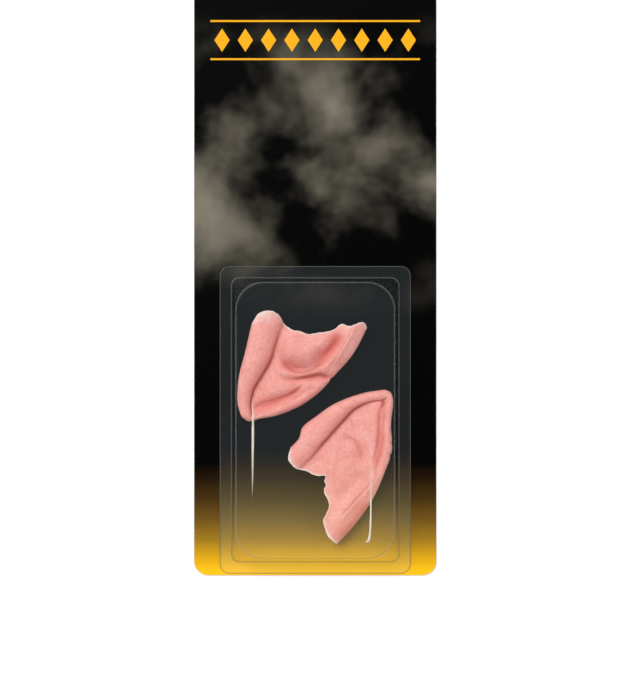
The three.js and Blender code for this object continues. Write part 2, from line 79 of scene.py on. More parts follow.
# Both ears are told from the tip, at 0, to the mouth, at 1. Edge places are shares of the ear's
# width and length, the roll's width is a share of its section, and heights are shares of the ear's
# depth. A fold is its name, its rise as a share of the depth, its half width as a share of the
# ear's width, and its path. Painted shade, deeper pink laid in hollows and on sides turned from the
# light, is told in the same way, and the fine folds are low forms that only the looks need.
RIGHT_EAR = {
    "turn": -32,
    "hand": 1,
    "seed": 3,
    "pale_line": 0.011,
    "pale_end": 0.1,
    "notches": ((0.615, 0.012), (0.3, 0.008)),
    "sections": (
        (0.0, 0, 0, 0, 0, 0.5, 0.5, 0.49, 0.49, 0.48),
        (0.02, -0.048, 0.002, 0.034, 0.011, 0.5, 0.51, 0.5, 0.5, 0.48),
        (0.08, -0.08, 0.01, 0.09, 0.055, 0.49, 0.54, 0.48, 0.49, 0.48),
        (0.13, -0.12, 0.031, 0.155, 0.093, 0.42, 0.57, 0.38, 0.41, 0.48),
        (0.2, -0.17, 0.063, 0.225, 0.14, 0.32, 0.61, 0.32, 0.38, 0.48),
        (0.35, -0.25, 0.15, 0.36, 0.267, 0.24, 0.68, 0.29, 0.41, 0.5),
        (0.5, -0.313, 0.243, 0.447, 0.408, 0.263, 0.78, 0.34, 0.46, 0.5),
        (0.65, -0.358, 0.342, 0.49, 0.564, 0.283, 0.87, 0.42, 0.53, 0.53),
        (0.8, -0.406, 0.439, 0.528, 0.718, 0.268, 0.94, 0.54, 0.59, 0.58),
        (0.9, -0.439, 0.503, 0.526, 0.822, 0.268, 0.98, 0.6, 0.6, 0.6),
        (1.0, -0.472, 0.568, 0.513, 0.928, 0.27, 1.0, 0.62, 0.59, 0.6),
    ),
    "mouth": (
        (0, 0), (0.05, 0.055), (0.14, 0.075), (0.22, 0.062), (0.27, 0.015), (0.3, -0.015),
        (0.42, -0.046), (0.53, -0.056), (0.62, -0.042), (0.71, -0.018), (0.79, 0.02),
        (0.85, 0.013), (0.93, 0.037), (0.98, 0.033), (1, 0),
    ),
    "folds": (
        ("bowl swell", 0.2, 0.18, ((-0.22, 0.62), (-0.02, 0.58), (0.15, 0.61), (0.26, 0.8))),
        ("bowl foot", -0.16, 0.055,
         ((-0.15, 0.5), (0.02, 0.455), (0.15, 0.455), (0.28, 0.53), (0.335, 0.66), (0.345, 0.8))),
        ("bowl pocket", -0.16, 0.06, ((0.2, 0.53), (0.28, 0.64), (0.315, 0.72), (0.33, 0.82))),
        ("upper fold", 0.15, 0.042,
         ((-0.1, 0.38), (0.06, 0.4), (0.2, 0.445), (0.34, 0.545), (0.39, 0.68), (0.385, 0.86), (0.36, 1))),
        ("fold crease", -0.2, 0.042,
         ((0.02, 0.32), (0.18, 0.39), (0.3, 0.47), (0.38, 0.51), (0.54, 0.53))),
        ("lower swell", 0.12, 0.075, ((-0.02, 0.2), (0.07, 0.28), (0.2, 0.36), (0.34, 0.46))),
        ("rim groove", -0.2, 0.05,
         ((-0.05, 0.05), (0.06, 0.15), (0.16, 0.24), (0.24, 0.32), (0.3, 0.43))),
    ),
    # Painted shade: deeper pink in the pocket and at the bowl's foot, where the surface is hollow
    "hollow_shades": (
        ("pocket", 0.5, 0.07, ((0.2, 0.54), (0.27, 0.62), (0.315, 0.72), (0.33, 0.82))),
        ("bowl foot", 0.24, 0.08, ((-0.06, 0.48), (0.05, 0.465), (0.16, 0.475), (0.27, 0.54))),
    ),
    "fine_folds": (
        ("bowl foot line", -0.045, 0.013,
         ((-0.12, 0.48), (0.03, 0.443), (0.15, 0.443), (0.25, 0.485), (0.31, 0.565), (0.34, 0.66))),
        ("bowl slope", -0.05, 0.09, ((0.0, 0.5), (0.08, 0.49), (0.17, 0.505), (0.27, 0.6))),
        ("pocket line", -0.02, 0.02, ((0.24, 0.6), (0.29, 0.665), (0.32, 0.72), (0.335, 0.78))),
        ("crease line", -0.11, 0.014,
         ((0.12, 0.37), (0.22, 0.425), (0.3, 0.472), (0.36, 0.509), (0.42, 0.52), (0.54, 0.527))),
        ("rim line", -0.07, 0.015,
         ((-0.03, 0.085), (0.05, 0.148), (0.13, 0.212), (0.19, 0.268), (0.25, 0.345), (0.28, 0.41))),
        ("second ridge", 0.035, 0.018, ((0.42, 0.6), (0.425, 0.7), (0.42, 0.8), (0.4, 0.94))),
        ("ridge line", -0.035, 0.014, ((0.4, 0.56), (0.412, 0.68), (0.407, 0.8), (0.385, 0.93))),
        ("rim crumple", -0.03, 0.02, ((0.26, 0.27), (0.3, 0.33), (0.35, 0.39), (0.4, 0.43))),
        ("knob", 0.03, 0.014, ((0.283, 0.355), (0.291, 0.367), (0.3, 0.377))),
        ("swell line", -0.025, 0.02, ((0.0, 0.25), (0.09, 0.3), (0.18, 0.345), (0.27, 0.41))),
        ("bowl wrinkle", -0.015, 0.016, ((-0.1, 0.6), (-0.02, 0.63), (0.06, 0.7), (0.1, 0.78))),
        ("roll dent", -0.05, 0.05, ((-0.33, 0.52), (-0.26, 0.56), (-0.2, 0.6))),
        ("mouth dent", -0.06, 0.04, ((-0.42, 0.6), (-0.38, 0.66), (-0.35, 0.7))),
    ),
}

LEFT_EAR = {
    "turn": 141,
    "hand": -1,
    "seed": 8,
    "pale_line": 0.014,
    "pale_end": 0.04,
    "notches": ((0.31, 0.02), (0.385, 0.014)),
    "sections": (
        (0.0, 0, 0, 0, 0, 0.48, 0.5, 0.49, 0.49, 0.48),
        (0.02, -0.044, 0.009, 0.042, 0.014, 0.5, 0.51, 0.5, 0.5, 0.48),
        (0.08, -0.083, 0.03, 0.1, 0.055, 0.5, 0.54, 0.48, 0.49, 0.49),
        (0.13, -0.125, 0.059, 0.143, 0.102, 0.415, 0.57, 0.4, 0.44, 0.49),
        (0.2, -0.18, 0.101, 0.208, 0.167, 0.275, 0.58, 0.36, 0.42, 0.48),
        (0.35, -0.282, 0.201, 0.369, 0.29, 0.19, 0.66, 0.34, 0.45, 0.5),
        (0.5, -0.362, 0.308, 0.458, 0.449, 0.22, 0.74, 0.39, 0.5, 0.51),
        (0.65, -0.412, 0.425, 0.522, 0.61, 0.237, 0.8, 0.46, 0.54, 0.53),
        (0.8, -0.449, 0.544, 0.545, 0.776, 0.249, 0.84, 0.54, 0.57, 0.56),
        (0.9, -0.41, 0.615, 0.542, 0.889, 0.223, 0.85, 0.58, 0.57, 0.58),
        (1.0, -0.418, 0.696, 0.526, 0.997, 0.22, 0.84, 0.6, 0.57, 0.58),
    ),
    "mouth": (
        (0, 0), (0.04, 0.026), (0.09, 0.043), (0.13, 0.041), (0.21, 0.012), (0.25, -0.022),
        (0.345, -0.081), (0.375, -0.125), (0.415, -0.108), (0.46, -0.109), (0.485, -0.086),
        (0.6, -0.075), (0.67, -0.05), (0.74, 0.005), (0.82, 0.021), (0.9, 0.023), (0.97, 0.01),
        (1, 0),
    ),
    "folds": (
        ("cheek hollow", -0.07, 0.07,
         ((-0.13, 0.41), (-0.01, 0.405), (0.1, 0.415), (0.18, 0.44), (0.25, 0.5))),
        ("inner rim line", -0.08, 0.03,
         ((-0.01, 0.1), (0.1, 0.195), (0.2, 0.28), (0.27, 0.36), (0.32, 0.45))),
        ("outer rim line", -0.1, 0.04,
         ((-0.02, 0.06), (0.08, 0.143), (0.19, 0.245), (0.27, 0.325), (0.34, 0.41), (0.45, 0.51))),
        ("rim fold", 0.09, 0.05, ((0.36, 0.47), (0.385, 0.6), (0.38, 0.71), (0.385, 0.8), (0.36, 0.95))),
        ("inner slope", -0.07, 0.06, ((0.28, 0.52), (0.28, 0.65), (0.27, 0.8))),
    ),
    # Painted shade: deeper pink on the tail's flank, turned from the light, and in the cheek
    "hollow_shades": (
        ("tail flank", 0.75, 0.085, ((0.5, 0.62), (0.53, 0.76), (0.53, 0.86), (0.49, 1.0))),
        ("cheek", 0.2, 0.12, ((0.02, 0.45), (0.14, 0.55), (0.24, 0.62))),
    ),
    "fine_folds": (
        ("tip hook", -0.09, 0.014, ((-0.03, 0.08), (0.0, 0.079), (0.018, 0.092), (0.03, 0.125))),
        ("first line", -0.04, 0.016,
         ((0.01, 0.125), (0.1, 0.196), (0.17, 0.253), (0.245, 0.337), (0.29, 0.405))),
        ("second line", -0.045, 0.015,
         ((0.017, 0.093), (0.093, 0.153), (0.165, 0.225), (0.22, 0.27), (0.268, 0.325),
          (0.311, 0.369), (0.335, 0.412), (0.373, 0.458), (0.434, 0.501))),
        ("band between", 0.035, 0.016,
         ((0.06, 0.14), (0.13, 0.205), (0.2, 0.265), (0.26, 0.335), (0.3, 0.39))),
        ("third line", -0.02, 0.022, ((0.3, 0.45), (0.36, 0.54), (0.385, 0.64), (0.385, 0.72))),
        ("fourth line", -0.015, 0.02, ((0.26, 0.46), (0.33, 0.55), (0.35, 0.65), (0.35, 0.76))),
        ("cheek arc", -0.035, 0.02,
         ((-0.13, 0.417), (-0.05, 0.405), (0.032, 0.397), (0.109, 0.416), (0.172, 0.444), (0.217, 0.49))),
        ("low arc", 0.035, 0.03, ((-0.1, 0.47), (0.0, 0.46), (0.08, 0.475), (0.14, 0.52), (0.17, 0.6))),
        ("roll wrinkle", -0.02, 0.02, ((-0.17, 0.3), (-0.12, 0.31), (-0.07, 0.335), (-0.03, 0.35))),
        ("cheek line", -0.012, 0.02, ((-0.1, 0.52), (-0.02, 0.54), (0.06, 0.6), (0.1, 0.68))),
        ("roll dent", -0.05, 0.05, ((-0.36, 0.5), (-0.3, 0.55), (-0.25, 0.62))),
        ("mouth dent", -0.06, 0.035, ((-0.37, 0.66), (-0.32, 0.67), (-0.28, 0.69))),
        ("tail line", -0.035, 0.014, ((0.412, 0.49), (0.407, 0.6), (0.4, 0.7), (0.39, 0.8), (0.385, 0.88))),
        ("tail ridge", 0.03, 0.02, ((0.44, 0.5), (0.44, 0.6), (0.43, 0.7), (0.42, 0.8), (0.41, 0.9))),
    ),
}


def linear(hex_colour):
    """An sRGB hex colour as linear red, green, blue and alpha."""
    values = [int(hex_colour[i : i + 2], 16) / 255 for i in (1, 3, 5)]
    return (*[v / 12.92 if v <= 0.04045 else ((v + 0.055) / 1.055) ** 2.4 for v in values], 1.0)


def colour_property(name, description, hex_colour):
    """A colour that a user can change, with an sRGB hex default."""
    return bpy.props.FloatVectorProperty(
        name=name, description=description, subtype="COLOR", size=3, min=0, max=1,
        default=linear(hex_colour)[:3],
    )


def length_property(name, description, default):
    """A length in metres that a user can change."""
    return bpy.props.FloatProperty(
        name=name, description=description, default=default, min=0, unit="LENGTH", precision=5,
    )


def power_property(name, description, default):
    """A light's power in watts that a user can change."""
    return bpy.props.FloatProperty(name=name, description=description, default=default, min=0, unit="POWER")


class EarTipSettings(bpy.types.PropertyGroup):
    """Sizes and colours of the ear tips."""

    length: length_property("Length", "From the tip to the mouth", 72 * MM)
    width: length_property("Width", "Across the mouth", 48.3 * MM)
    depth: length_property("Depth", "Height of the roll over the card", 14.5 * MM)
    wall: length_property("Wall", "Thickness of the latex", 1.2 * MM)
    edge_wall: length_property("Edge wall", "Thickness of the latex at the mouth", 0.5 * MM)
    latex: colour_property("Latex", "Pink of the cast latex", "#fdb4a9")
    # This pink is also the painted shade in folds, hollows and up the roll's flank
    blush_and_shade: colour_property("Blush", "Deeper pink in the folds", "#de6c62")
    # Painted shade: red brown at the bottom of creases, where shade falls
    crease: colour_property("Crease", "Red brown at the bottom of creases", "#b0402f")
    # Thin latex, and over the roll's end also a painted highlight
    thin_edge_and_highlight: colour_property("Thin edge", "Pale tone where the latex runs out", "#fdf0e8")


class BlisterSettings(bpy.types.PropertyGroup):
    """Sizes and colours of the blister."""

    film: length_property("Film", "Thickness of the film", 0.4 * MM)
    draft: length_property("Draft", "How far the face is drawn in", 1.7 * MM)
    rim: length_property("Rim", "Width of the sealed flange", 5.8 * MM)
    tint: colour_property("Tint", "Tone of the film", "#8e989c")
    warm_tint: colour_property("Warm tint", "Tone of the film over the amber print", "#d4dca6")
    bend: colour_property("Bend", "Tone of the film where it bends", "#6a6860")
    # The painted glint colour of the two ridges in the film's face
    crease: colour_property("Crease", "Tone of the film where it is creased", "#f9f1dc")


class CardSettings(bpy.types.PropertyGroup):
    """Sizes and colours of the backing card."""

    corner: length_property("Corner", "Radius of the card's corners", 6.6 * MM)
    ground: colour_property("Ground", "Ink over most of the card", "#020202")
    glow: colour_property("Glow", "Amber ink at the foot", "#ffc41c")
    mist: colour_property("Mist", "Cloudy tone over the blister", "#8d8676")
    trim: colour_property("Trim", "Amber ink of the plain ornament at the head", "#f5ae20")
    board: colour_property("Board", "Uncoated board at the edges and back", "#cfc9bd")


class StageSettings(bpy.types.PropertyGroup):
    """Floor and lights."""

    floor: colour_property("Floor", "Pale floor", "#fbfbfa")
    key_power: power_property("Key power", "Power of the main light", 120)
    fill_power: power_property("Fill power", "Power of the second light", 22)


def add_node(tree, kind, inputs=None, stops=None, **settings):
    """Adds a shader node with its settings. An input is a value or another node's output."""
    made = tree.nodes.new(kind)
    for name, value in settings.items():
        setattr(made, name, value)
    if stops:
        elements = made.color_ramp.elements
        while len(elements) < len(stops):
            elements.new(1)
        for element, (place, colour) in zip(elements, stops):
            element.position = place
            element.color = colour
    for socket, value in (inputs or {}).items():
        if isinstance(value, bpy.types.NodeSocket):
            tree.links.new(value, made.inputs[socket])
        else:
            made.inputs[socket].default_value = value
    return made


def new_material(name):
    """An empty material and its node tree."""
    material = bpy.data.materials.new(name)
    material.use_nodes = True
    material.node_tree.nodes.clear()
    return material, material.node_tree


def mix_colours(tree, factor, a, b):
    """The colour output of a mix of two colours."""
    inputs = {MIX_FACTOR: factor, MIX_A: a, MIX_B: b}
    return add_node(tree, "ShaderNodeMix", inputs, data_type="RGBA").outputs[MIX_RESULT]


def per_size(size_mm):
    """Scale of a texture whose features are this many millimetres apart, in object coordinates."""
    return 1 / (size_mm * MM)


def solid_colour(colour):
    """A colour property as a four part colour."""
    return (*colour, 1.0)


def cast_latex(settings):
    """Natural rubber latex, slip cast in a plaster mould and pigmented through.

    It gives the eye a matt, slightly waxy skin with light bleeding through it, painted shade of deeper
    pink in folds and hollows and of red brown in creases, and a pale see-through edge where it was
    feathered out, which over the roll's end is also a painted highlight.
    """
    material, tree = new_material("cast_latex")
    place = add_node(tree, "ShaderNodeTexCoord").outputs["Object"]
    # The mesh gives painted shade in folds and creases, and the thin edge with a painted highlight on the
    # roll's end
    fold = add_node(tree, "ShaderNodeAttribute", attribute_name="fold_shade").outputs["Fac"]
    crease = add_node(tree, "ShaderNodeAttribute", attribute_name="crease_shade_line").outputs["Fac"]
    edge = add_node(tree, "ShaderNodeAttribute", attribute_name="thin_edge_and_highlight").outputs["Fac"]

    # Blush mottling, about 7 mm from patch to patch
    patches = add_node(
        tree, "ShaderNodeTexNoise", {"Vector": place, "Scale": per_size(7), "Detail": 3, "Roughness": 0.55},
    ).outputs["Fac"]
    patch_amount = add_node(
        tree, "ShaderNodeMapRange", {"Value": patches, "From Min": 0.35, "From Max": 0.7, "To Max": 0.3},
    ).outputs["Result"]
    # Fine speckle from the plaster's grain, drawn at 1.2 mm so that it shows
    speckle = add_node(
        tree, "ShaderNodeTexNoise", {"Vector": place, "Scale": per_size(1.2), "Detail": 3, "Roughness": 0.7},
    ).outputs["Fac"]
    speckle_amount = add_node(
        tree, "ShaderNodeMapRange", {"Value": speckle, "From Min": 0.44, "From Max": 0.62, "To Max": 0.27},
    ).outputs["Result"]

    latex, blush_and_shade = solid_colour(settings.latex), solid_colour(settings.blush_and_shade)
    colour = mix_colours(tree, patch_amount, latex, blush_and_shade)
    colour = mix_colours(tree, speckle_amount, colour, blush_and_shade)
    # Painted shade: deeper pink in folds and hollows, then red brown at the bottom of creases
    colour = mix_colours(tree, fold, colour, blush_and_shade)
    colour = mix_colours(tree, crease, colour, solid_colour(settings.crease))
    # The thin edge, paler over the roll's end as a painted highlight
    colour = mix_colours(tree, edge, colour, solid_colour(settings.thin_edge_and_highlight))

    # Pores and fine skin wrinkles, drawn 0.9 and 1.6 mm apart so that they show
    pores = add_node(
        tree, "ShaderNodeTexVoronoi", {"Vector": place, "Scale": per_size(0.9)}, feature="SMOOTH_F1",
    ).outputs["Distance"]
    wrinkles = add_node(
        tree, "ShaderNodeTexNoise",
        {"Vector": place, "Scale": per_size(1.6), "Detail": 5, "Roughness": 0.6, "Distortion": 0.6},
    ).outputs["Fac"]
    fine = add_node(tree, "ShaderNodeBump", {"Height": pores, "Strength": 0.5, "Distance": 0.15 * MM})
    relief = add_node(
        tree, "ShaderNodeBump",
        {"Height": wrinkles, "Strength": 0.8, "Distance": 0.8 * MM, "Normal": fine.outputs["Normal"]},
    )
    roughness = add_node(
        tree, "ShaderNodeMapRange", {"Value": wrinkles, "To Min": 0.5, "To Max": 0.66},
    ).outputs["Result"]
    surface = add_node(
        tree, "ShaderNodeBsdfPrincipled",
        {
            "Base Color": colour,
            "Roughness": roughness,
            "IOR": 1.52,
            "Specular IOR Level": 0.35,
            "Subsurface Weight": 0.2,
            "Subsurface Radius": (1.0, 0.35, 0.25),
            "Subsurface Scale": 0.8 * MM,
            "Normal": relief.outputs["Normal"],
        },
    )
    add_node(tree, "ShaderNodeOutputMaterial", {"Surface": surface.outputs["BSDF"]})
    return material


def thermoformed_film(settings):
    """Clear PET sheet, 0.4 mm, thermoformed over a block.

    It gives the eye a faint grey veil, a soft grey line wherever the film bends, and gloss at its sides.
    """
    material, tree = new_material("thermoformed_film")
    place = add_node(tree, "ShaderNodeTexCoord").outputs["Object"]
    facing = add_node(tree, "ShaderNodeLayerWeight", {"Blend": 0.35}).outputs["Facing"]
    clear = add_node(
        tree, "ShaderNodeMapRange",
        {"Value": facing, "From Min": 0.1, "From Max": 1.0, "To Min": 0.028, "To Max": 0.04},
    ).outputs["Result"]
    # Light thrown back by the amber print warms the haze and thickens it towards the foot
    warm_haze, bend_haze = 0.018, 0.45
    height = add_node(tree, "ShaderNodeSeparateXYZ", {"Vector": place}).outputs["Y"]
    warmth = add_node(
        tree, "ShaderNodeMapRange", {"Value": height, "From Min": -80 * MM, "From Max": -112 * MM},
    ).outputs["Result"]
    tint = add_node(
        tree, "ShaderNodeValToRGB", {"Fac": warmth},
        stops=(
            (0.0, solid_colour(settings.tint)),
            (0.3, linear("#baaa90")),
            (0.65, linear("#ccca96")),
            (1.0, solid_colour(settings.warm_tint)),
        ),
    ).outputs["Color"]
    warm = add_node(tree, "ShaderNodeMath", {0: warmth, 1: warm_haze}, operation="MULTIPLY").outputs["Value"]
    haze = add_node(tree, "ShaderNodeMath", {0: clear, 1: warm}, operation="ADD").outputs["Value"]
    # Stretched bends and the cut edge scatter light, in lines 0.5 mm wide
    bend = add_node(tree, "ShaderNodeAttribute", attribute_name="bend").outputs["Fac"]
    tint = mix_colours(tree, bend, tint, solid_colour(settings.bend))
    milky = add_node(tree, "ShaderNodeMath", {0: bend, 1: bend_haze}, operation="MULTIPLY").outputs["Value"]
    veil = add_node(tree, "ShaderNodeMath", {0: haze, 1: milky}, operation="ADD").outputs["Value"]
    # Slow waviness of stretched film, about 18 mm from swell to swell
    swell = add_node(
        tree, "ShaderNodeTexNoise", {"Vector": place, "Scale": per_size(18), "Detail": 1},
    ).outputs["Fac"]
    waves = add_node(tree, "ShaderNodeBump", {"Height": swell, "Strength": 0.2, "Distance": 0.3 * MM})
    surface = add_node(
        tree, "ShaderNodeBsdfPrincipled",
        {
            "Base Color": tint,
            "Roughness": 0.16,
            "IOR": 1.57,
            "Specular IOR Level": 0.3,
            "Alpha": veil,
            "Normal": waves.outputs["Normal"],
        },
    )
    add_node(tree, "ShaderNodeOutputMaterial", {"Surface": surface.outputs["BSDF"]})
    return material


def glint_streak_film(settings):
    """PET film along a low ridge, coloured as a painted glint.

    It gives the eye a milky white line, a painted reflection of a light in the film's face.
    """
    material, tree = new_material("glint_streak_film")
    place = add_node(tree, "ShaderNodeTexCoord").outputs["Object"]
    glint_amount = add_node(tree, "ShaderNodeAttribute", attribute_name="bend").outputs["Fac"]
    # The painted glint is also uneven, every 4 mm or so along the ridge
    patches = add_node(
        tree, "ShaderNodeTexNoise", {"Vector": place, "Scale": per_size(4), "Detail": 2},
    ).outputs["Fac"]
    uneven = add_node(
        tree, "ShaderNodeMapRange", {"Value": patches, "From Min": 0.3, "From Max": 0.7, "To Min": 0.7},
    ).outputs["Result"]
    strength = add_node(
        tree, "ShaderNodeMath", {0: glint_amount, 1: uneven}, operation="MULTIPLY",
    ).outputs["Value"]
    surface = add_node(
        tree, "ShaderNodeBsdfPrincipled",
        {
            "Base Color": solid_colour(settings.crease),
            "Roughness": 0.3,
            "IOR": 1.57,
            "Alpha": strength,
        },
    )
    add_node(tree, "ShaderNodeOutputMaterial", {"Surface": surface.outputs["BSDF"]})
    return material


# The plain ornament at the card's head: a row of lozenges between two rules
TRIM_MIDDLE = 113 * MM
TRIM_HALF_LENGTH = 49.5 * MM
LOZENGE_SPACING = 11 * MM
LOZENGE_HALF_WIDTH = 3.6 * MM
LOZENGE_HALF_HEIGHT = 5.5 * MM
RULE_OFFSET = 9 * MM
RULE_THICKNESS = 0.9 * MM


def lozenge_row(tree, place):
    """1 where the ornament is printed and 0 elsewhere."""
    split = add_node(tree, "ShaderNodeSeparateXYZ", {"Vector": place})
    known = {"x": split.outputs["X"], "y": split.outputs["Y"]}
    steps = (
        ("across", "ABSOLUTE", "x", 0),
        ("height", "SUBTRACT", "y", TRIM_MIDDLE),
        ("up", "ABSOLUTE", "height", 0),
        ("aside", "PINGPONG", "across", LOZENGE_SPACING / 2),
        ("share aside", "DIVIDE", "aside", LOZENGE_HALF_WIDTH),
        ("share up", "DIVIDE", "up", LOZENGE_HALF_HEIGHT),
        ("from middle", "ADD", "share aside", "share up"),
        ("lozenges", "LESS_THAN", "from middle", 1),
        ("past rule", "SUBTRACT", "up", RULE_OFFSET),
        ("off rule", "ABSOLUTE", "past rule", 0),
        ("rules", "LESS_THAN", "off rule", RULE_THICKNESS / 2),
        ("within", "LESS_THAN", "across", TRIM_HALF_LENGTH),
        ("printed", "MAXIMUM", "lozenges", "rules"),
        ("row", "MULTIPLY", "printed", "within"),
    )
    for name, operation, a, b in steps:
        inputs = {0: known[a], 1: known.get(b, b)}
        known[name] = add_node(tree, "ShaderNodeMath", inputs, operation=operation).outputs["Value"]
    return known["row"]


def coated_print(settings):
    """Folding boxboard, clay coated, offset printed and varnished.

    It gives the eye a smooth black that runs into warm amber at the foot, with a low satin gloss.
    """
    material, tree = new_material("coated_print")
    place = add_node(tree, "ShaderNodeTexCoord").outputs["Object"]
    upwards = add_node(tree, "ShaderNodeSeparateXYZ", {"Vector": place}).outputs["Y"]
    from_foot = add_node(
        tree, "ShaderNodeMapRange",
        {"Value": upwards, "From Min": CARD_LOW.y, "From Max": CARD_LOW.y + 60 * MM},
    ).outputs["Result"]
    ground = solid_colour(settings.ground)
    fade = add_node(
        tree, "ShaderNodeValToRGB", {"Fac": from_foot},
        stops=(
            (0.03, solid_colour(settings.glow)),
            (0.12, linear("#e2ab18")),
            (0.28, linear("#9e7720")),
            (0.44, linear("#6e501c")),
            (0.6, linear("#432f10")),
            (0.76, linear("#221405")),
            (0.88, ground),
        ),
    ).outputs["Color"]

    # Soft cloudy mist over the upper half, in patches about 60 mm across
    clouds = add_node(
        tree, "ShaderNodeTexNoise",
        {"Vector": place, "Scale": per_size(60), "Detail": 4, "Roughness": 0.5, "Distortion": 0.15},
    ).outputs["Fac"]
    thick = add_node(
        tree, "ShaderNodeMapRange",
        {"Value": clouds, "From Min": 0.42, "From Max": 0.75},
        interpolation_type="SMOOTHSTEP",
    ).outputs["Result"]
    low = add_node(
        tree, "ShaderNodeMapRange",
        {"Value": upwards, "From Min": -20 * MM, "From Max": 35 * MM},
        interpolation_type="SMOOTHSTEP",
    ).outputs["Result"]
    high = add_node(
        tree, "ShaderNodeMapRange",
        {"Value": upwards, "From Min": 128 * MM, "From Max": 95 * MM},
        interpolation_type="SMOOTHSTEP",
    ).outputs["Result"]
    band = add_node(tree, "ShaderNodeMath", {0: low, 1: high}, operation="MULTIPLY").outputs["Value"]
    misty = add_node(tree, "ShaderNodeMath", {0: thick, 1: band}, operation="MULTIPLY").outputs["Value"]
    colour = mix_colours(tree, misty, fade, solid_colour(settings.mist))
    colour = mix_colours(tree, lozenge_row(tree, place), colour, solid_colour(settings.trim))

    # The coating's orange peel, finer than 0.3 mm on the real card
    peel = add_node(
        tree, "ShaderNodeTexNoise", {"Vector": place, "Scale": per_size(0.9), "Detail": 2},
    ).outputs["Fac"]
    grain = add_node(tree, "ShaderNodeBump", {"Height": peel, "Strength": 0.12, "Distance": 0.05 * MM})
    roughness = add_node(
        tree, "ShaderNodeMapRange", {"Value": peel, "To Min": 0.2, "To Max": 0.26},
    ).outputs["Result"]
    surface = add_node(
        tree, "ShaderNodeBsdfPrincipled",
        {
            "Base Color": colour,
            "Roughness": roughness,
            "IOR": 1.5,
            "Specular IOR Level": 0.1,
            "Normal": grain.outputs["Normal"],
        },
    )
    add_node(tree, "ShaderNodeOutputMaterial", {"Surface": surface.outputs["BSDF"]})
    return material


def bare_board(settings):
    """Uncoated side and cut edge of the board: pressed recycled pulp.

    It gives the eye a dull warm grey with short fibres in it.
    """
    material, tree = new_material("bare_board")
    place = add_node(tree, "ShaderNodeTexCoord").outputs["Object"]
    # Fibres are 2.5 mm long and finer than a hair, drawn 0.5 mm wide so that they show
    stretch = add_node(
        tree, "ShaderNodeMapping", {"Vector": place, "Scale": (1.0, 0.2, 1.0)},
    ).outputs["Vector"]
    fibres = add_node(
        tree, "ShaderNodeTexNoise",
        {"Vector": stretch, "Scale": per_size(0.5), "Detail": 4, "Distortion": 1.5},
    ).outputs["Fac"]
    board = solid_colour(settings.board)
    darker = mix_colours(tree, 0.35, board, linear("#8f877a"))
    amount = add_node(
        tree, "ShaderNodeMapRange", {"Value": fibres, "From Min": 0.45, "From Max": 0.75},
    ).outputs["Result"]
    colour = mix_colours(tree, amount, board, darker)
    fuzz = add_node(tree, "ShaderNodeBump", {"Height": fibres, "Strength": 0.3, "Distance": 0.06 * MM})
    surface = add_node(
        tree, "ShaderNodeBsdfPrincipled",
        {"Base Color": colour, "Roughness": 0.85, "Normal": fuzz.outputs["Normal"]},
    )
    add_node(tree, "ShaderNodeOutputMaterial", {"Surface": surface.outputs["BSDF"]})
    return material


def painted_floor(settings):
    """A sheet of matt painted board, which gives the eye an even pale ground."""
    material, tree = new_material("painted_floor")
    place = add_node(tree, "ShaderNodeTexCoord").outputs["Object"]
    # Roller stipple, about 1.5 mm
    stipple = add_node(
        tree, "ShaderNodeTexNoise", {"Vector": place, "Scale": per_size(1.5), "Detail": 2},
    ).outputs["Fac"]
    roughness = add_node(
        tree, "ShaderNodeMapRange", {"Value": stipple, "To Min": 0.8, "To Max": 0.9},
    ).outputs["Result"]
    surface = add_node(
        tree, "ShaderNodeBsdfPrincipled",
        {"Base Color": solid_colour(settings.floor), "Roughness": roughness, "Specular IOR Level": 0.1},
    )
    add_node(tree, "ShaderNodeOutputMaterial", {"Surface": surface.outputs["BSDF"]})
    return material


def read_column(rows, columns, column, at):
    """A column of a table at many values of its first column, on a smooth curve through the rows."""
    table = np.array(rows, float)
    keys, values = table[:, 0], table[:, columns.index(column)]
    slopes = np.diff(values) / np.diff(keys)
    middle = (slopes[:-1] + slopes[1:]) / 2
    before = np.concatenate([slopes[:1], middle])
    after = np.concatenate([middle, slopes[-1:]])
    i = np.clip(np.searchsorted(keys, at, side="right") - 1, 0, len(keys) - 2)
    span = keys[i + 1] - keys[i]
    t = np.clip((at - keys[i]) / span, 0, 1)
    rise = values[i + 1] - values[i]
    curve = t * t * (3 - 2 * t) * rise + t * (1 - t) * span * ((1 - t) * before[i] - t * after[i])
    return values[i] + curve


def smoothstep(value, low, high):
    """Rises smoothly from 0 at low to 1 at high."""
    t = np.clip((value - low) / (high - low), 0, 1)
    return t * t * (3 - 2 * t)


def bell(value, half_width):
    """1 where the value is 0, and falls smoothly away on both sides."""
    return np.exp(-((value / half_width) ** 2))


def smooth_path(knots, steps):
    """Points on a smooth curve through the knots."""
    knots = np.array(knots, float)
    along = np.linspace(0, len(knots) - 1, steps + 1)
    i = np.minimum(along.astype(int), len(knots) - 2)
    t = (along - i)[:, None]
    p1, p2 = knots[i], knots[i + 1]
    p0, p3 = knots[np.maximum(i - 1, 0)], knots[np.minimum(i + 2, len(knots) - 1)]
    v1, v2 = (p2 - p0) / 2, (p3 - p1) / 2
    return (2 * p1 - 2 * p2 + v1 + v2) * t**3 + (3 * p2 - 3 * p1 - 2 * v1 - v2) * t**2 + v1 * t + p1


# Steps along a fold's path, and the share of it over which each end fades out
FOLD_STEPS = 40
FOLD_FADE = 0.25
FOLD_START = 0.15  # how far across the floor folds reach their full height


